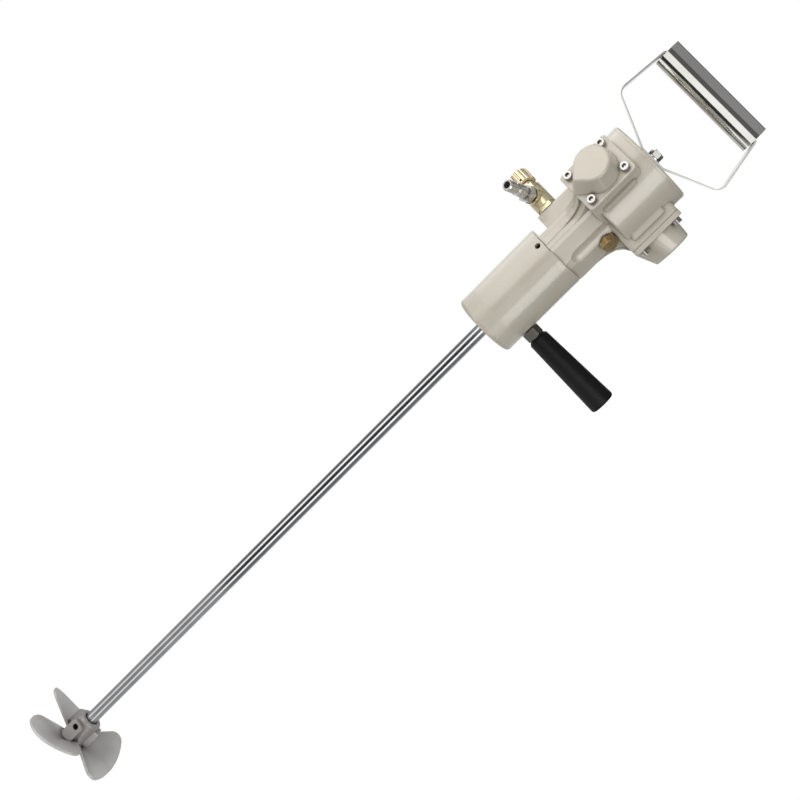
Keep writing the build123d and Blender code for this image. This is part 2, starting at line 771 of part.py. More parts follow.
def coupling():
    bore = journal_radius + seat_gap
    sleeve = tube(coupling_radius, bore, coupling_foot, coupling_top)
    sleeve = chamfer(sleeve.edges().filter_by(GeomType.CIRCLE).filter_by(
        lambda e: e.radius > coupling_radius - 1), 1)
    sleeve -= Pos(journal_radius, 0, (upper_key_z + lower_key_z) / 2) * Box(5.02, 5.02, coupling_length + 2)
    hole = rod(2.5 + thread_gap, journal_radius + 2, coupling_radius + 1)
    return sleeve - [radial(hole, 0, z) for z in (upper_key_z, lower_key_z)]


def coupling_screws():
    screw = Pos(0, 0, coupling_radius - 0.5) * grub_screw(2.5, coupling_radius - 0.5 - journal_radius - 2.55)
    return group([radial(screw, 0, z) for z in (upper_key_z, lower_key_z)])


def shaft_keys():
    return group([crank_key(z, key_length) for z in (valve_key_z, upper_key_z, lower_key_z)])


def shaft_circlip():
    ring = tube(journal_radius + 2, journal_radius - 0.5 + seat_gap, pair_top, pair_top + circlip_thickness)
    return ring - Pos(-journal_radius, 0, pair_top) * Box(8, 5, 4)


def housing_circlip():
    ring = tube(bearing_outer + circlip_depth, bearing_outer - 2.5, pair_top, pair_top + circlip_thickness)
    return ring - Pos(-bearing_outer, 0, pair_top) * Box(8, 8, 4)


def inner_spacer():
    return tube(journal_radius + 2.5, journal_radius + seat_gap, pair_foot + bearing_width, pair_top - bearing_width)


def outer_spacer():
    return tube(bearing_outer, bearing_outer - 2.5, pair_foot + bearing_width, pair_top - bearing_width)


# ---- shaft and propeller --------------------------------------------------------------------
def agitator_shaft():
    shaft = rod(shaft_radius, hub_foot + 2, pair_foot)
    shaft = chamfer(shaft.edges().sort_by(Axis.Z)[0], 1)
    shaft += rod(journal_radius, pair_foot, shaft_head)
    shaft -= tube(journal_radius + 1, journal_radius - 0.5, pair_top, pair_top + circlip_thickness)
    return shaft - crank_key(lower_key_z, key_length)


def blade_point(radius, turn):
    # the blade is a helix whose pitch grows outward, with a curve across it
    outward = radius - hub_radius
    pitch = blade_hub_pitch + (blade_tip_pitch - blade_hub_pitch) * outward / (blade_tip - hub_radius)
    share = (turn - blade_turn) / 45
    rise = pitch * share / 8 + blade_camber * share**2 - blade_reflex * share**3
    x, y = polar(radius, turn)
    return (x, y, hub_top - blade_drop + rise + blade_lift * outward)


def blade():
    radii = [hub_radius - 7 + k * (blade_tip - hub_radius + 10) / 6 for k in range(7)]
    turns = [-54 + k * 12 for k in range(11)]
    grid = [[blade_point(radius, turn) for turn in turns] for radius in radii]
    sheet = thicken(Face.make_surface_from_array_of_points(grid), blade_thickness / 2, both=True)
    lead = polar(blade_tip, -blade_tip_half)
    trail = polar(blade_tip, blade_tip_half)
    foot_lead = polar(hub_radius - 3, -blade_lead_half)
    foot_trail = polar(hub_radius - 3, blade_trail_half)
    outline = make_face([Line(foot_lead, lead), ThreePointArc(lead, (blade_tip, 0), trail),
                         Line(trail, foot_trail), Line(foot_trail, foot_lead)])
    outline = fillet(outline.vertices().sort_by(Axis.X)[-2:], blade_corner)
    return sheet & Pos(0, 0, hub_foot - 30) * extrude(outline, hub_height + 60)


def propeller():
    hub = rod(hub_radius, hub_foot, hub_top)
    hub = fillet(hub.edges().sort_by(Axis.Z)[-1], hub_top_edge)
    hub = fillet(hub.edges().sort_by(Axis.Z)[0], hub_foot_edge)
    pad_z = hub_top - hub_pad_drop - hub_pad_height / 2
    pad = extrude(RectangleRounded(hub_pad_height, hub_pad_width, hub_pad_corner), hub_pad_face)
    hub += [radial(pad, bearing, pad_z) for bearing in hub_pads]
    hub += around(blade(), [blade_bearing + 360 / blade_count * k for k in range(blade_count)])
    hub -= rod(shaft_radius + seat_gap, hub_foot - 1, hub_top + 1)
    hub -= turned([(0, hub_top + 1), (shaft_radius + 2.5, hub_top + 1), (shaft_radius - 0.5, hub_top - 2),
                   (0, hub_top - 2)])
    hole = rod(hub_screw_radius + thread_gap, 0, hub_pad_face + 1)
    return hub - [radial(hole, bearing, hub_screw_z) for bearing in hub_pads[:hub_screw_count]]


def propeller_screws():
    top = hub_pad_face - hub_screw_sink
    screw = Pos(0, 0, top) * grub_screw(hub_screw_radius, top - shaft_radius)
    return group([radial(screw, bearing, hub_screw_z) for bearing in hub_pads[:hub_screw_count]])


# ---- side handle ----------------------------------------------------------------------------
nut_end = housing_radius + 0.2 + handle_nut_height
handle_end = nut_end + handle_length


def handle_stud():
    stud = rod(handle_stud_radius, housing_radius - handle_stud_depth, nut_end + handle_stud_reach)
    return radial(stud, 0, handle_z)


def handle_nut():
    low = housing_radius + 0.2
    nut = hexagon(handle_nut_across, low, nut_end)
    corner = handle_nut_across / 2 / math.cos(math.radians(30))
    face = handle_nut_across / 2
    rim = turned([(0, low), (corner, low), (corner, nut_end - 1), (face, nut_end), (0, nut_end)])
    return radial((nut & rim) - rod(handle_stud_radius + thread_gap, low - 1, nut_end + 1), 0, handle_z)


def handle_grip():
    grip = turned([(0, nut_end), (handle_root_radius - 3, nut_end), (handle_root_radius, nut_end + 3.5),
                   (handle_end_radius, handle_end), (0, handle_end)])
    grip = fillet(grip.edges().filter_by(GeomType.CIRCLE).sort_by(Axis.Z)[-1], 3.5)
    grip -= rod(handle_stud_radius + thread_gap, nut_end - 1, nut_end + handle_stud_reach + 0.5)
    grip -= rod(5.5, handle_end - 2.5, handle_end + 1)
    return radial(grip, 0, handle_z)


# ---- throttle valve and air plug ------------------------------------------------------------
valve_end = inlet_face + valve_length
bonnet_end = valve_end + bonnet_hex_height + bonnet_neck_height
knob_start = bonnet_end + knob_gap
knob_end = knob_start + knob_length
bonnet_tip_end = bonnet_end + bonnet_tip_height
knob_groove_z = bonnet_end + bonnet_tip_height / 2 + knob_gap
seat_end = inlet_face + branch_reach - 6


def at_inlet(shape):
    return radial(shape, inlet_bearing, inlet_z)


def at_branch(shape):
    # the branch turns away from the valve's axis and dips a little
    x, y = polar(inlet_face + branch_reach, inlet_bearing)
    return Pos(x, y, inlet_z) * Rot(0, 0, inlet_bearing + 90) * Rot(0, 90 + branch_tilt, 0) * shape


def valve_body():
    body = rod(valve_thread, inlet_face - valve_thread_length, inlet_face)
    body += hexagon(valve_hex_across, inlet_face, inlet_face + valve_hex_height)
    body += rod(valve_radius, inlet_face + valve_hex_height, valve_end)
    body = at_inlet(body) + at_branch(rod(branch_radius, 0, branch_length))
    body -= at_inlet(rod(needle_radius + 1, inlet_face - valve_thread_length - 1, seat_end + 1))
    body -= at_inlet(rod(needle_radius + 3, seat_end, valve_end + 1))
    body -= at_inlet(rod(bonnet_neck_radius + thread_gap, valve_end - 8, valve_end + 1))
    body -= at_branch(rod(valve_thread + thread_gap, 8, branch_length + 1))
    return body - at_branch(rod(needle_radius + 1, 0, 10))


def valve_bonnet():
    bonnet = hexagon(bonnet_across, valve_end, valve_end + bonnet_hex_height)
    bonnet += rod(bonnet_neck_radius, valve_end - 7.5, bonnet_end)
    bonnet += rod(bonnet_tip_radius, bonnet_end - 1, bonnet_tip_end)
    bonnet -= tube(bonnet_tip_radius + 1, bonnet_tip_radius - knob_groove_depth,
                   knob_groove_z - knob_groove_width / 2, knob_groove_z + knob_groove_width / 2)
    return at_inlet(bonnet - rod(needle_radius + running_gap, valve_end - 9, bonnet_tip_end + 1))


def valve_needle():
    start = seat_end - 3.5
    stem = turned([(0, start), (0.8, start), (needle_radius + 0.8, seat_end + 2.5),
                   (needle_radius + 0.8, seat_end + 5), (needle_radius, seat_end + 6),
                   (needle_radius, knob_end - needle_end), (0, knob_end - needle_end)])
    return at_inlet(stem)


def valve_knob():
    knob = rod(knob_radius, knob_start, knob_end)
    knob = chamfer(knob.edges().filter_by(GeomType.CIRCLE), 1.2)
    grips = [Pos(*polar(knob_radius + 0.9, 30 * k), 0) * rod(2.0, knob_start - 1, knob_end + 1) for k in range(12)]
    knob -= grips
    knob -= rod(bonnet_tip_radius + running_gap, knob_start - 1, bonnet_tip_end + contact_gap)
    knob -= rod(needle_radius + running_gap, knob_start - 1, knob_end - needle_end + needle_travel + contact_gap)
    hole = Pos(0, 0, knob_groove_z) * radial(rod(knob_screw_radius + thread_gap, 0, knob_radius + 1), knob_screw_bearing, 0)
    return at_inlet(knob - hole)


def knob_screw():
    # its tip runs in the bonnet's groove and keeps the knob on
    top = knob_radius - 1.5
    tip = bonnet_tip_radius - knob_groove_depth + running_gap
    screw = Pos(0, 0, top) * grub_screw(knob_screw_radius, top - tip)
    return at_inlet(Pos(0, 0, knob_groove_z) * radial(screw, knob_screw_bearing, 0))


def air_plug_profile():
    hex_foot = branch_length + plug_seal_height
    neck = hex_foot + plug_hex_height
    plug = turned([(plug_bore, 9), (valve_thread, 9), (valve_thread, hex_foot), (valve_thread, neck - 1),
                   (plug_barrel_radius - 1.6, neck - 1), (plug_barrel_radius - 1.6, neck + 3),
                   (plug_barrel_radius, neck + 4), (plug_barrel_radius, plug_reach - 19),
                   (plug_barrel_radius - 2, plug_reach - 17), (plug_barrel_radius - 2, plug_reach - 13),
                   (plug_tip_radius, plug_reach - 11.5), (plug_tip_radius, plug_reach - 1.5),
                   (plug_tip_radius - 0.8, plug_reach), (plug_bore, plug_reach)])
    nut = hexagon(plug_hex_across, hex_foot, neck) - rod(plug_bore, hex_foot - 1, neck + 1)
    return plug + nut


def air_plug():
    return at_branch(air_plug_profile())


def air_plug_seal():
    return at_branch(tube(plug_hex_across / 2, valve_thread + thread_gap, branch_length,
                          branch_length + plug_seal_height))


# ---- port plug and exhaust silencer ---------------------------------------------------------
def port_plug():
    low = facet_face + oil_washer
    top = low + oil_plug_hex
    plug = rod(valve_thread, facet_face - valve_thread_length, low)
    plug += Rot(0, 0, 30) * hexagon(oil_plug_across, low, top)
    plug += rod(oil_plug_across / 2 - 0.5, top, top + oil_plug_button)
    return radial(plug, oil_plug_bearing, oil_plug_z)


def port_washer():
    washer = tube(oil_washer_radius, valve_thread + thread_gap, facet_face, facet_face + oil_washer)
    return radial(washer, oil_plug_bearing, oil_plug_z)


def exhaust_silencer():
    body = rod(valve_thread, facet_face - valve_thread_length, facet_face) + hexagon(17, facet_face, facet_face + 5)
    muffler = rod(silencer_radius, facet_face + 5, facet_face + silencer_length)
    muffler = fillet(muffler.edges().filter_by(GeomType.CIRCLE).sort_by(Axis.Z)[-1], 3)
    return radial(body + muffler, silencer_bearing, silencer_z)


# ---- nodes ----------------------------------------------------------------------------------
parts = {
    "bail_strap": bail_strap(),
    "bail_grip": bail_grip(),
    "bail_bolt": bail_bolt(),
    "bail_washer": bail_washer(),
    "end_cover": end_cover(),
    "end_cover_screws": end_cover_screws(),
    "motor_casing": motor_casing(),
    "crankshaft": crankshaft(),
    "eccentric_bush": eccentric_bush(),
    "drive_ring": drive_ring(),
    "rotary_valve": rotary_valve(),
    "valve_sleeve": valve_sleeve(),
    "crank_seal": lip_seal(journal_radius, crank_seal_top),
    "lower_housing": lower_housing(),
    "housing_set_screws": housing_set_screws(),
    "coupling": coupling(),
    "coupling_screws": coupling_screws(),
    "shaft_keys": shaft_keys(),
    "shaft_circlip": shaft_circlip(),
    "housing_circlip": housing_circlip(),
    "inner_spacer": inner_spacer(),
    "outer_spacer": outer_spacer(),
    "shaft_seal": lip_seal(shaft_radius, housing_foot + seal_height + shaft_seal_drop),
    "agitator_shaft": agitator_shaft(),
    "propeller": propeller(),
    "propeller_screws": propeller_screws(),
    "handle_stud": handle_stud(),
    "handle_nut": handle_nut(),
    "handle_grip": handle_grip(),
    "valve_body": valve_body(),
    "valve_bonnet": valve_bonnet(),
    "valve_needle": valve_needle(),
    "valve_knob": valve_knob(),
    "knob_screw": knob_screw(),
    "air_plug": air_plug(),
    "air_plug_seal": air_plug_seal(),
    "port_plug": port_plug(),
    "port_washer": port_washer(),
    "exhaust_silencer": exhaust_silencer(),
    "outer_bearing_rings": group([outer_ring(top) for top in bearing_tops]),
    "inner_bearing_rings": group([inner_ring(top) for top in bearing_tops]),
    "bearing_cages": group([cage(top) for top in bearing_tops]),
}
all_balls = []
for top in bearing_tops:
    all_balls += balls(top)
parts["bearing_balls"] = group(all_balls)

cover = cylinder_cover()
one_piston = piston()
for letter, bearing in zip("bac", cylinder_bearings):
    parts["cylinder_cover_" + letter] = radial(cover, bearing, cylinder_z)
    parts["piston_" + letter] = radial(one_piston, bearing, cylinder_z)

screws = [Pos(x, y, 0) * cover_screw() for x, y in cover_screw_spots()]
rings = [piston_ring(land) for land in ring_lands]
cylinder_sets = {
    "cylinder_liners": [cylinder_liner()],
    "cover_gaskets": [cover_gasket()],
    "cover_screws": screws,
    "piston_rings": rings,
    "gudgeon_pins": [gudgeon_pin()],
    "piston_rods": [piston_rod()],
}
for name, pieces in cylinder_sets.items():
    parts[name] = group([radial(piece, bearing, cylinder_z) for piece in pieces for bearing in cylinder_bearings])

os.makedirs("parts", exist_ok=True)
for name, shape in parts.items():
    export_step(shape, "parts/" + name + ".step")
    print(name, len(shape.solids()), round(shape.volume))
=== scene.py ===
import bpy
import bmesh
import json
import math
from mathutils import Matrix, Vector


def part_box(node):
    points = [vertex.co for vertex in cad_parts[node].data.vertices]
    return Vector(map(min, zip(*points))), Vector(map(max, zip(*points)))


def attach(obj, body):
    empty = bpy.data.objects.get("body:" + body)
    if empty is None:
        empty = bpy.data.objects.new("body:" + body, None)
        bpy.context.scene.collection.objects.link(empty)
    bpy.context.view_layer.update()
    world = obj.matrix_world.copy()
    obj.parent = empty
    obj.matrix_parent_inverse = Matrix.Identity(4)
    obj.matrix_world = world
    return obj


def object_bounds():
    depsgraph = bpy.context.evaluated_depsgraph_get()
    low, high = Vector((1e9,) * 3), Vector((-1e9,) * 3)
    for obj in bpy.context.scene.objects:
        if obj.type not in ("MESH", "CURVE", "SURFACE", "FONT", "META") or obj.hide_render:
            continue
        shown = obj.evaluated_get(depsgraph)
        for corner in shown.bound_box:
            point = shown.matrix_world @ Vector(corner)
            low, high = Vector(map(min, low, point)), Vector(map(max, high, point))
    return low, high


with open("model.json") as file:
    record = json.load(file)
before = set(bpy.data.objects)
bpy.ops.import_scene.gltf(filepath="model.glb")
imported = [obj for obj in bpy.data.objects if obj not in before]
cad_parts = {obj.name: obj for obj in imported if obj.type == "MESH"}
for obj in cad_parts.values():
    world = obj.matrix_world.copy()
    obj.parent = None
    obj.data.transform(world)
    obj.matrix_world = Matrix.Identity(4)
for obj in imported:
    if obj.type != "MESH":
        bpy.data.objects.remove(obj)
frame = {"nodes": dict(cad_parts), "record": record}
cadBox = [list(corner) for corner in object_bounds()]
nodes = frame["nodes"]
scene = bpy.context.scene
print("frame loaded:", len(nodes), "nodes")


# the view: a long lens a little above the object, turned so that the shaft runs slantwise
camera = {
    "lens": 60.75,
    "sensorWidth": 36,
    "distance": 1.605,
    "rise": 11.5,            # degrees above the horizon
    "turn": 0.0,             # degrees round the shaft, 0 looks along +Y
    "roll": 45.0,
    "side": -0.0090,         # aim, right of the shaft
    "alongShaft": 0.4522,    # aim, as a share of the height from the top down
}


def addCamera():
    low, high = Vector(cadBox[0]), Vector(cadBox[1])
    aim = Vector((camera["side"], 0, high.z + (low.z - high.z) * camera["alongShaft"]))
    rise, turn, roll = (math.radians(camera[key]) for key in ("rise", "turn", "roll"))
    ahead = Matrix.Rotation(turn, 3, "Z") @ Vector((0, math.cos(rise), -math.sin(rise)))
    right = Matrix.Rotation(turn, 3, "Z") @ Vector((1, 0, 0))
    up = right.cross(ahead)
    data = bpy.data.cameras.new("camera")
    data.lens = camera["lens"]
    data.sensor_width = camera["sensorWidth"]
    eye = bpy.data.objects.new("camera", data)
    scene.collection.objects.link(eye)
    axes = Matrix((right * math.cos(roll) + up * math.sin(roll),
                   up * math.cos(roll) - right * math.sin(roll), -ahead)).transposed()
    eye.matrix_world = Matrix.Translation(aim - ahead * camera["distance"]) @ axes.to_4x4()
    scene.camera = eye


addCamera()
print("camera set")


def linear(hexColor):
    channels = [int(hexColor[k:k + 2], 16) / 255 for k in (1, 3, 5)]
    return [c / 12.92 if c <= 0.04045 else ((c + 0.055) / 1.055) ** 2.4 for c in channels] + [1.0]


def addNode(tree, kind, settings=None, links=None):
    # a setting is a socket's value, or else one of the node's own switches
    node = tree.nodes.new(kind)
    for key, value in (settings or {}).items():
        if isinstance(key, int) or key in node.inputs:
            node.inputs[key].default_value = value
        else:
            setattr(node, key, value)
    for key, source in (links or {}).items():
        tree.links.new(source, node.inputs[key])
    return node


# how each surface was made. patches are a slow noise and grain a fine one, and Scale is roughly how
# many of its spots there are to a metre. stops are where on the patches each tone sits
surfaces = {
    # sprayed over a sand casting: patches of 70 mm that hardly show, a slow orange peel of 2.4 mm in the
    # highlights, edges that the paint rounds, and painted shade in its corners and seams
    "sprayed": {
        "shader": {"Metallic": 0.0, "IOR": 1.5,
                   "Coat Weight": 0.55, "Coat Roughness": 0.05, "Coat IOR": 1.5},
        "patches": {"Scale": 14.0, "Detail": 3.0},
        "grain": {"Scale": 420.0, "Detail": 2.0, "Roughness": 0.45},
        "stops": (0.3, 0.5, 0.72),
        "roughnessFrom": "patches",
        "corners": {"tone": "#6B6358", "reach": 0.004, "most": 0.75},
        "relief": {"Strength": 0.035, "Distance": 0.0006},
        "softEdge": 0.0009,
    },
    # drawn and polished: long lines that smear what it mirrors. they are 1.1 mm apart, wider than the
    # real ones, so that they show
    "drawn": {
        "shader": {"Metallic": 1.0},
        "patches": {"Scale": 30.0, "Detail": 2.0},
        "grain": {"Scale": 900.0, "Detail": 4.0, "Roughness": 0.6},
        "stops": (0.35, 0.65),
        "roughnessFrom": "grain",
        "relief": {"Strength": 0.02, "Distance": 0.0001},
    },
    # cast and bead blasted: an even grit, half matt, with painted shade where faces meet. its 0.7 mm is
    # coarser than the real grit, so that it shows
    "blasted": {
        "shader": {"Metallic": 1.0},
        "patches": {"Scale": 40.0, "Detail": 4.0},
        "grain": {"Scale": 1400.0, "Detail": 2.0},
        "stops": (0.3, 0.7),
        "roughnessFrom": "patches",
        "corners": {"tone": "#3A3733", "reach": 0.004, "most": 0.7},
        "relief": {"Strength": 0.25, "Distance": 0.0003},
        "softEdge": 0.0009,
    },
    # machined and left bare: duller patches of 17 mm, painted shade in its corners and sockets, and tool
    # marks drawn 0.9 mm apart, wider than the real ones, so that they show
    "machined": {
        "shader": {"Metallic": 1.0},
        "patches": {"Scale": 60.0, "Detail": 5.0},
        "grain": {"Scale": 1080.0, "Detail": 2.0},
        "stops": (0.32, 0.68),
        "roughnessFrom": "patches",
        "corners": {"tone": "#1F1C17", "reach": 0.0025, "most": 0.8},
        "relief": {"Strength": 0.1, "Distance": 0.0002},
        "softEdge": 0.0004,
    },
    # moulded, pressed or blackened: a matt grain that breaks up the highlight, drawn 1 to 2 mm wide, which
    # is coarser than the real one, so that it shows
    "moulded": {
        "shader": {"Metallic": 0.0, "IOR": 1.5, "Specular IOR Level": 0.5},
        "patches": {"Scale": 35.0, "Detail": 3.0},
        "grain": {"Scale": 900.0, "Detail": 3.0},
        "stops": (0.3, 0.7),
        "roughnessFrom": "grain",
        "relief": {"Strength": 0.1, "Distance": 0.0002},
    },
}
# each slot's material: its tones from dark to light, and its lowest and highest roughness. shader and
# grain values given here go over those of its surface
finishes = {
    # warm light gray under a clear gloss, with long soft highlights
    "casing_paint": {
        "name": "stovingEnamel", "surface": "sprayed",
        "tones": ("#BCB5A7", "#C0B9AB", "#C3BCAE"), "roughness": (0.27, 0.34)},
    # satin strip, its highlight drawn out along the bend
    "bail_steel": {
        "name": "rolledStainless", "surface": "drawn",
        "tones": ("#C2C2BD", "#CDCDC9"), "roughness": (0.15, 0.26), "stretch": (0.05, 1, 0.05)},
    # nearly a mirror: hard black and white bands along the tube
    "grip_steel": {
        "name": "polishedTube", "surface": "drawn",
        "tones": ("#E8E7E2", "#EFEEEA"), "roughness": (0.0675, 0.117), "stretch": (0.03, 1, 1)},
    # bright bar with narrow dark and light stripes, softened a little by the grinding
    "shaft_steel": {
        "name": "groundBar", "surface": "drawn",
        "tones": ("#C5C6C8", "#D0D1D3"), "roughness": (0.105, 0.182), "stretch": (1, 1, 0.02)},
    # soft pearly gray without clear reflections, darker near the hub and paler from 18 to 60 mm out
    "propeller_steel": {
        "name": "blastedStainless", "surface": "blasted", "shader": {"Metallic": 0.5},
        "tones": ("#CBC9C7", "#D8D6D4"), "roughness": (0.34, 0.46),
        "nearShaftTone": {"tone": "#ABA8A5", "from": 0.018, "to": 0.06}},
    # cool silver with small sharp glints on the heads
    "screw_steel": {
        "name": "zincPlatedSteel", "surface": "machined",
        "tones": ("#AFACA6", "#C4C2BD"), "roughness": (0.16, 0.25)},
    # the brightest fastener, white on the faces that look up
    "bolt_steel": {
        "name": "polishedStainless", "surface": "machined",
        "tones": ("#D2D1CD", "#E4E3E0"), "roughness": (0.128, 0.2)},
    # dark oily gray with a dull shine on each flat
    "nut_steel": {
        "name": "turnedSteel", "surface": "machined",
        "tones": ("#5A5853", "#6F6C67"), "roughness": (0.256, 0.4)},
    # almost black, with a weak gleam at the socket's rim
    "black_screw": {
        "name": "blackOxide", "surface": "moulded", "shader": {"Specular IOR Level": 0.3},
        "tones": ("#0B0A0A", "#100F0F"), "roughness": (0.357, 0.483)},
    # deep black that stays black in the light, with one broad dull highlight
    "black_plastic": {
        "name": "phenolicPlastic", "surface": "moulded", "shader": {"Specular IOR Level": 0.22},
        "tones": ("#080708", "#0B0A0B"), "roughness": (0.425, 0.575), "grain": {"Scale": 700.0}},
    # deep gold, dark where it mirrors the dark side
    "brass": {
        "name": "machinedBrass", "surface": "machined",
        "tones": ("#CDB27E", "#DFC998"), "roughness": (0.24, 0.375)},
    # painted highlight: a lighter copy of the brass for the valve, pale lemon gold, nearly white where the
    # light falls on it
    "valveBrassPaintedHighlight": {
        "name": "brassPaintedHighlight", "surface": "machined", "shader": {"Metallic": 0.7},
        "tones": ("#EBDCB2", "#F6EACA"), "roughness": (0.24, 0.375)},
    # clean silver, a little softer than the screws
    "plug_steel": {
        "name": "nickelPlate", "surface": "machined", "shader": {"Metallic": 0.85},
        "tones": ("#C2C1BE", "#D6D5D2"), "roughness": (0.192, 0.3)},
    # dull black line between two parts
    "seal_rubber": {
        "name": "nitrileRubber", "surface": "moulded",
        "tones": ("#0F0F0F", "#161616"), "roughness": (0.4675, 0.6325), "grain": {"Scale": 500.0}},
    # dry brown gray edge, quite matt
    "gasket_sheet": {
        "name": "gasketSheet", "surface": "moulded",
        "tones": ("#5D5549", "#6E6558"), "roughness": (0.595, 0.805)},
    # even mid gray steel with a silky shine
    "machined_steel": {
        "name": "groundSteel", "surface": "machined",
        "tones": ("#8F8F92", "#A6A6A8"), "roughness": (0.224, 0.35)},
    # bright cool steel, close to a mirror on balls and rings
    "bearing_steel": {
        "name": "bearingSteel", "surface": "machined",
        "tones": ("#B2B4B6", "#C4C6C8"), "roughness": (0.112, 0.175)},
    # light, slightly milky metal
    "piston_aluminium": {
        "name": "turnedAluminium", "surface": "machined",
        "tones": ("#ADADAC", "#C2C2C0"), "roughness": (0.24, 0.375)},
    # dark gray with a dull bore
    "liner_iron": {
        "name": "honedIron", "surface": "machined",
        "tones": ("#58595B", "#6A6B6D"), "roughness": (0.28, 0.4375)},
    # porous brown gold, half matt
    "sintered_bronze": {
        "name": "sinteredBronze", "surface": "blasted",
        "tones": ("#8C6A3B", "#A8824B"), "roughness": (0.425, 0.575)},
}
shading = {
    "usualNoise": {"From Min": 0.3, "From Max": 0.7},      # where nearly all of a noise's values lie
    "cornerShare": {"From Min": 0.35, "From Max": 0.95},   # how open a point is, from full painted shade to none
    "cornerSamples": 8,
    "edgeSamples": 6,
}


def addMaterial(finish):
    surface = surfaces[finish["surface"]]
    material = bpy.data.materials.new(finish["name"])
    material.use_nodes = True
    tree = material.node_tree
    tree.nodes.clear()
    shader = addNode(tree, "ShaderNodeBsdfPrincipled", {**surface["shader"], **finish.get("shader", {})})
    addNode(tree, "ShaderNodeOutputMaterial", links={"Surface": shader.outputs[0]})
    place = addNode(tree, "ShaderNodeTexCoord").outputs["Object"]

    # the two noises. a stretch below 1 draws the grain out along that axis
    grainPlace = place
    if "stretch" in finish:
        grainPlace = addNode(tree, "ShaderNodeMapping", {"Scale": finish["stretch"]},
                             {"Vector": place}).outputs[0]
    patches = addNode(tree, "ShaderNodeTexNoise", surface["patches"], {"Vector": place}).outputs[0]
    grain = addNode(tree, "ShaderNodeTexNoise", {**surface["grain"], **finish.get("grain", {})},
                    {"Vector": grainPlace}).outputs[0]

    # colour: the tones over the patches, then a darker tone near the shaft, then painted shade in the
    # corners
    ramp = addNode(tree, "ShaderNodeValToRGB", links={0: patches})
    marks = ramp.color_ramp.elements
    marks[0].position, marks[1].position = surface["stops"][0], surface["stops"][-1]
    for stop in surface["stops"][1:-1]:
        marks.new(stop)
    for mark, tone in zip(marks, finish["tones"]):
        mark.color = linear(tone)
    color = ramp.outputs[0]
    # darker near the hub: the colour runs from the near-shaft tone at 18 mm out to the metal's own tones at
    # 60 mm
    if "nearShaftTone" in finish:
        nearShaftTone = finish["nearShaftTone"]
        flat = addNode(tree, "ShaderNodeMapping", {"Scale": (1, 1, 0)}, {"Vector": place}).outputs[0]
        out = addNode(tree, "ShaderNodeVectorMath", {"operation": "LENGTH"}, {0: flat}).outputs["Value"]
        awayFromShaft = addNode(tree, "ShaderNodeMapRange", {"From Min": nearShaftTone["from"], "From Max": nearShaftTone["to"]},
                       {"Value": out}).outputs[0]
        color = addNode(tree, "ShaderNodeMix", {"data_type": "RGBA", "A": linear(nearShaftTone["tone"])},
                        {"Factor": awayFromShaft, "B": color}).outputs["Result"]
    # painted shade: ambient occlusion darkens the colour toward the corner tone in corners, creases, seams
    # and recesses
    if "corners" in surface:
        corners = surface["corners"]
        openness = addNode(tree, "ShaderNodeAmbientOcclusion", {"samples": shading["cornerSamples"],
                                                                "Distance": corners["reach"]}).outputs["AO"]
        cornerShadeAmount = addNode(tree, "ShaderNodeMapRange",
                       {**shading["cornerShare"], "To Min": corners["most"], "To Max": 0.0},
                       {"Value": openness}).outputs[0]
        color = addNode(tree, "ShaderNodeMix", {"data_type": "RGBA", "B": linear(corners["tone"])},
                        {"Factor": cornerShadeAmount, "A": color}).outputs["Result"]
    tree.links.new(color, shader.inputs["Base Color"])

    lowest, highest = finish["roughness"]
    pattern = grain if surface["roughnessFrom"] == "grain" else patches
    rough = addNode(tree, "ShaderNodeMapRange",
                    {**shading["usualNoise"], "To Min": lowest, "To Max": highest},
                    {"Value": pattern}).outputs[0]
    tree.links.new(rough, shader.inputs["Roughness"])

    # relief: the grain, on edges rounded to softEdge so that they catch the light
    links = {"Height": grain}
    if "softEdge" in surface:
        links["Normal"] = addNode(tree, "ShaderNodeBevel", {"samples": shading["edgeSamples"],
                                                            "Radius": surface["softEdge"]}).outputs[0]
    relief = addNode(tree, "ShaderNodeBump", surface["relief"], links).outputs[0]
    tree.links.new(relief, shader.inputs["Normal"])
    return material


materials = {slot: addMaterial(finish) for slot, finish in finishes.items()}
# pieces that are brighter than the rest of their metal. the valve's lighter brass is a painted highlight
brighter = {"bail_bolt": "bolt_steel", "bail_washer": "bolt_steel", "valve_body": "valveBrassPaintedHighlight",
            "valve_bonnet": "valveBrassPaintedHighlight", "valve_knob": "valveBrassPaintedHighlight"}
slotOf = {part["node"]: part["material_slot"] for part in frame["record"]["subparts"]}


def dress(piece, slot):
    piece.data.materials.clear()
    piece.data.materials.append(materials[slot])


for nodeName, node in nodes.items():
    dress(node, brighter.get(nodeName, slotOf[nodeName]))
print("materials:", len(materials))


def addPiece(name, mesh, slot, body):
    bmesh.ops.recalc_face_normals(mesh, faces=mesh.faces)
    data = bpy.data.meshes.new(name)
    mesh.to_mesh(data)
    mesh.free()
    piece = bpy.data.objects.new(name, data)
    scene.collection.objects.link(piece)
    dress(piece, slot)
    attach(piece, body)


# a narrow web runs up each lobe of the nose and out to the cylinder cover
castWeb = {
    # distance from the shaft, height and half width, from the nose's foot up to the cover's flange
    "stations": [(0.0397, 0.0007, 0.0049), (0.0397, 0.0255, 0.0040), (0.0413, 0.0390, 0.0034),
                 (0.0448, 0.0505, 0.0028), (0.0500, 0.0575, 0.0023), (0.0578, 0.0621, 0.0017)],
    "root": 0.036,           # its inner side, inside the casting
    "edge": 0.0007,
    "edgeSteps": 3,
    "bearings": (0, 120, 240),
}


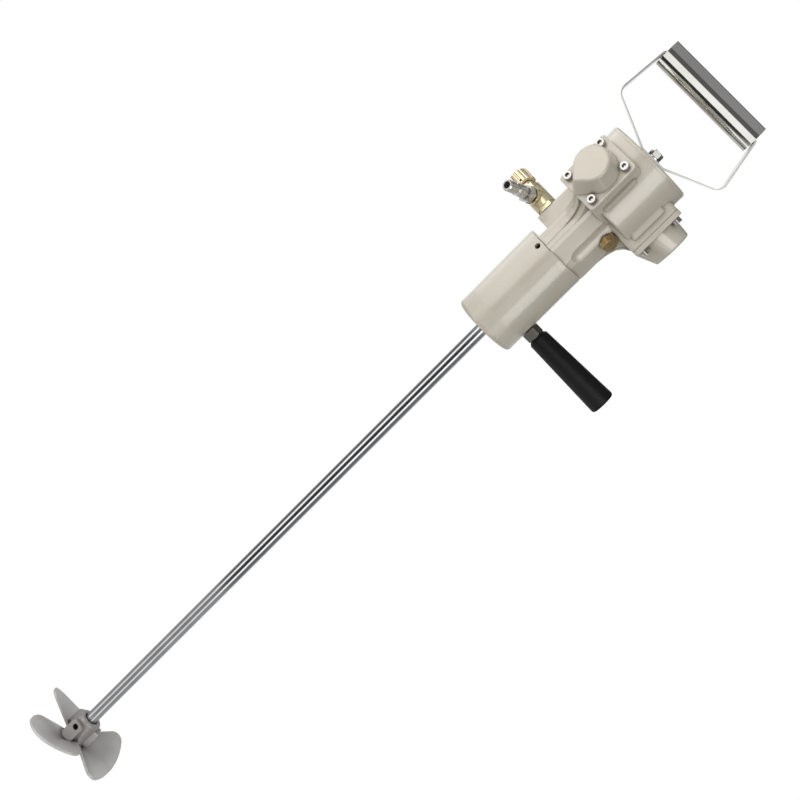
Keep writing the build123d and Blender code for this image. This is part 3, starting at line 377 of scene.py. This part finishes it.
def addCastWebs():
    root = castWeb["root"]
    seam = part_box("lower_housing")[1][2]
    whole = bmesh.new()
    for bearing in castWeb["bearings"]:
        mesh = bmesh.new()
        reach, height, half = castWeb["stations"][0]
        depth = reach - root
        bmesh.ops.create_grid(mesh, x_segments=1, y_segments=1, size=0.5)
        bmesh.ops.scale(mesh, vec=(depth, 2 * half, 1), verts=mesh.verts)
        bmesh.ops.translate(mesh, vec=(depth / 2, 0, height), verts=mesh.verts)
        top = mesh.faces[:]
        for nextReach, nextHeight, nextHalf in castWeb["stations"][1:]:
            made = bmesh.ops.extrude_face_region(mesh, geom=top)["geom"]
            top = [item for item in made if isinstance(item, bmesh.types.BMFace)]
            moved = [item for item in made if isinstance(item, bmesh.types.BMVert)]
            nextDepth = nextReach - root
            bmesh.ops.scale(mesh, vec=(nextDepth / depth, nextHalf / half, 1), verts=moved)
            bmesh.ops.translate(mesh, vec=(0, 0, nextHeight - height), verts=moved)
            depth, height, half = nextDepth, nextHeight, nextHalf
        # the two long edges that show
        outer = [edge for edge in mesh.edges if min(v.co.x for v in edge.verts) > castWeb["edge"]
                 and edge.verts[0].co.y * edge.verts[1].co.y > 0]
        bmesh.ops.bevel(mesh, geom=outer, offset=castWeb["edge"], affect="EDGES",
                        segments=castWeb["edgeSteps"], profile=0.5, material=-1)
        place = Matrix.Rotation(math.radians(bearing), 4, "Z") @ Matrix.Translation((root, 0, seam))
        bmesh.ops.transform(mesh, matrix=place, verts=mesh.verts)
        part = bpy.data.meshes.new("part")
        mesh.to_mesh(part)
        mesh.free()
        whole.from_mesh(part)
        bpy.data.meshes.remove(part)
    addPiece("castWebs", whole, "casing_paint", "root")


addCastWebs()
print("cast webs added")


studio = {
    "floorDrop": 0.32,       # the agitator hangs from its bail, clear of the floor
    "floorHalf": 9.0,
    "floorTone": "#F6F6F4",
    "floorWhite": 1.08,      # what the camera and mirrors see the floor as,
    "floorShare": 0.85,      # and how much of that, the rest being its lit face with the shadow
    "skyLight": 0.6,         # world light on matt surfaces
    "skyWhite": 1.0,         # and what the camera and mirrors see
}
floorLevel = cadBox[0][2] - studio["floorDrop"]

# bands of cards round the object, which only its reflections see
cardBands = {
    "top": 0.75,
    "step": -0.42,           # the motor mirrors the cards above this height, the shaft those below
    "footStep": -1.04,       # the shaft's end and the propeller mirror what is below this one
    "footGray": 0.58,        # a soft gray there,
    "footShare": 0.5,        # mixed this far into the shaft's cards
    "upperReach": 0.8,       # how far the cards stand from the shaft
    "lowerReach": 0.55,
    "sweepSteps": 24,
}
# each card's bearing from the viewer, width in degrees and brightness
upperCards = {
    "softboxLeft": (-80, 102, 2.1),
    "flagFront": (-19, 20, 0.03),
    "stripRight": (37, 34, 4.0),
    "flagRight": (104, 96, 0.2),
}
lowerCards = {
    "shaftBackLeft": (-150, 60, 0.45),
    "shaftFlagLeft": (-100, 40, 0.12),
    "shaftPaleLeft": (-71, 18, 0.5),
    "shaftStripLeft": (-52, 20, 1.8),
    "shaftGrayLeft": (-35, 14, 0.35),
    "shaftFlagFront": (-9, 38, 0.03),
    "shaftPaleFront": (15, 10, 0.35),
    "shaftStripRight": (31, 22, 1.8),
    "shaftGrayRight": (50, 16, 0.35),
    "shaftFlagRight": (84, 52, 0.18),
    "shaftBackRight": (145, 70, 0.5),
}
# a ceiling over the bail: lower end, upper end, each (distance from the shaft, height), and brightness
ceilings = {
    "darkCeiling": ((0.78, 0.12), (0.45, 0.42), 0.1),
    "grayCeiling": ((0.45, 0.42), (0.001, 0.7), 0.26),
}
# soft lamps: place, what they point at, width and height, watts
lamps = {
    "keyLeft": ((-2.0, -1.1, 0.1), (0, 0, -0.45), (1.4, 2.2), 20.5),
    "fillRight": ((1.3, -2.0, 0.3), (0, 0, -0.45), (0.8, 1.6), 5),
    "motorLeft": ((-0.34, -0.42, 0.12), (-0.04, -0.06, -0.12), (0.3, 0.3), 0.5),
}
white = linear("#FFFFFF")


def seenRays(tree):
    # 1 for the rays that look at the background: camera, glossy and transmission
    path = addNode(tree, "ShaderNodeLightPath")
    first = addNode(tree, "ShaderNodeMath", {"operation": "MAXIMUM"},
                    {0: path.outputs["Is Camera Ray"], 1: path.outputs["Is Glossy Ray"]})
    both = addNode(tree, "ShaderNodeMath", {"operation": "MAXIMUM"},
                   {0: first.outputs[0], 1: path.outputs["Is Transmission Ray"]})
    return both.outputs[0]


def addWorld():
    world = bpy.data.worlds.new("studio")
    scene.world = world
    world.use_nodes = True
    tree = world.node_tree
    tree.nodes.clear()
    dim = addNode(tree, "ShaderNodeBackground", {"Color": white, "Strength": studio["skyLight"]})
    bright = addNode(tree, "ShaderNodeBackground", {"Color": white, "Strength": studio["skyWhite"]})
    mix = addNode(tree, "ShaderNodeMixShader",
                  links={0: seenRays(tree), 1: dim.outputs[0], 2: bright.outputs[0]})
    addNode(tree, "ShaderNodeOutputWorld", links={"Surface": mix.outputs[0]})


def addStagePiece(name, mesh, material):
    data = bpy.data.meshes.new(name)
    mesh.to_mesh(data)
    mesh.free()
    data.materials.append(material)
    piece = bpy.data.objects.new(name, data)
    scene.collection.objects.link(piece)
    return piece


def addFloor():
    material = bpy.data.materials.new("paleFloor")
    material.use_nodes = True
    tree = material.node_tree
    tree.nodes.clear()
    matt = addNode(tree, "ShaderNodeBsdfDiffuse", {"Color": linear(studio["floorTone"])})
    glow = addNode(tree, "ShaderNodeEmission", {"Color": white, "Strength": studio["floorWhite"]})
    share = addNode(tree, "ShaderNodeMath", {"operation": "MULTIPLY", 1: studio["floorShare"]},
                    {0: seenRays(tree)})
    mix = addNode(tree, "ShaderNodeMixShader",
                  links={0: share.outputs[0], 1: matt.outputs[0], 2: glow.outputs[0]})
    addNode(tree, "ShaderNodeOutputMaterial", links={"Surface": mix.outputs[0]})
    mesh = bmesh.new()
    bmesh.ops.create_grid(mesh, x_segments=1, y_segments=1, size=studio["floorHalf"],
                          matrix=Matrix.Translation((0, 0, floorLevel)))
    addStagePiece("floor", mesh, material)


def addCard(name, start, end, bearing, widthDegrees, brightness):
    # a line from start to end, each (distance from the shaft, height), swept round the shaft
    material = bpy.data.materials.new(name)
    material.use_nodes = True
    tree = material.node_tree
    tree.nodes.clear()
    glow = addNode(tree, "ShaderNodeEmission", {"Color": white, "Strength": brightness})
    addNode(tree, "ShaderNodeOutputMaterial", links={"Surface": glow.outputs[0]})

    mesh = bmesh.new()
    turn = math.radians(bearing - widthDegrees / 2)
    ends = [mesh.verts.new((reach * math.sin(turn), -reach * math.cos(turn), height))
            for reach, height in (start, end)]
    line = mesh.edges.new(ends)
    bmesh.ops.spin(mesh, geom=ends + [line], cent=(0, 0, 0), axis=(0, 0, 1), dvec=(0, 0, 0),
                   angle=math.radians(widthDegrees), steps=cardBands["sweepSteps"],
                   use_merge=widthDegrees == 360, use_duplicate=False)
    card = addStagePiece(name, mesh, material)
    card.visible_camera = card.visible_diffuse = card.visible_shadow = card.visible_transmission = False


def addCards():
    gray, share = cardBands["footGray"], cardBands["footShare"]
    footCards = {name + "Foot": (bearing, width, brightness + (gray - brightness) * share)
                 for name, (bearing, width, brightness) in lowerCards.items()}
    bands = ((footCards, cardBands["lowerReach"], floorLevel, cardBands["footStep"]),
             (lowerCards, cardBands["lowerReach"], cardBands["footStep"], cardBands["step"]),
             (upperCards, cardBands["upperReach"], cardBands["step"], cardBands["top"]))
    for cards, reach, low, high in bands:
        for name, (bearing, width, brightness) in cards.items():
            addCard(name, (reach, low), (reach, high), bearing, width, brightness)
    for name, (start, end, brightness) in ceilings.items():
        addCard(name, start, end, 0, 360, brightness)


def addLamps():
    for name, (place, target, size, watts) in lamps.items():
        data = bpy.data.lights.new(name, "AREA")
        data.shape = "RECTANGLE"
        data.size, data.size_y = size
        data.energy = watts
        lamp = bpy.data.objects.new(name, data)
        scene.collection.objects.link(lamp)
        ahead = (Vector(target) - Vector(place)).normalized()
        facing = ahead.to_track_quat("-Z", "Z").to_matrix().to_4x4()
        lamp.matrix_world = Matrix.Translation(place) @ facing
        lamp.visible_glossy = False


addWorld()
addFloor()
addCards()
addLamps()
print("stage and light set")

scene.view_settings.view_transform = "Standard"
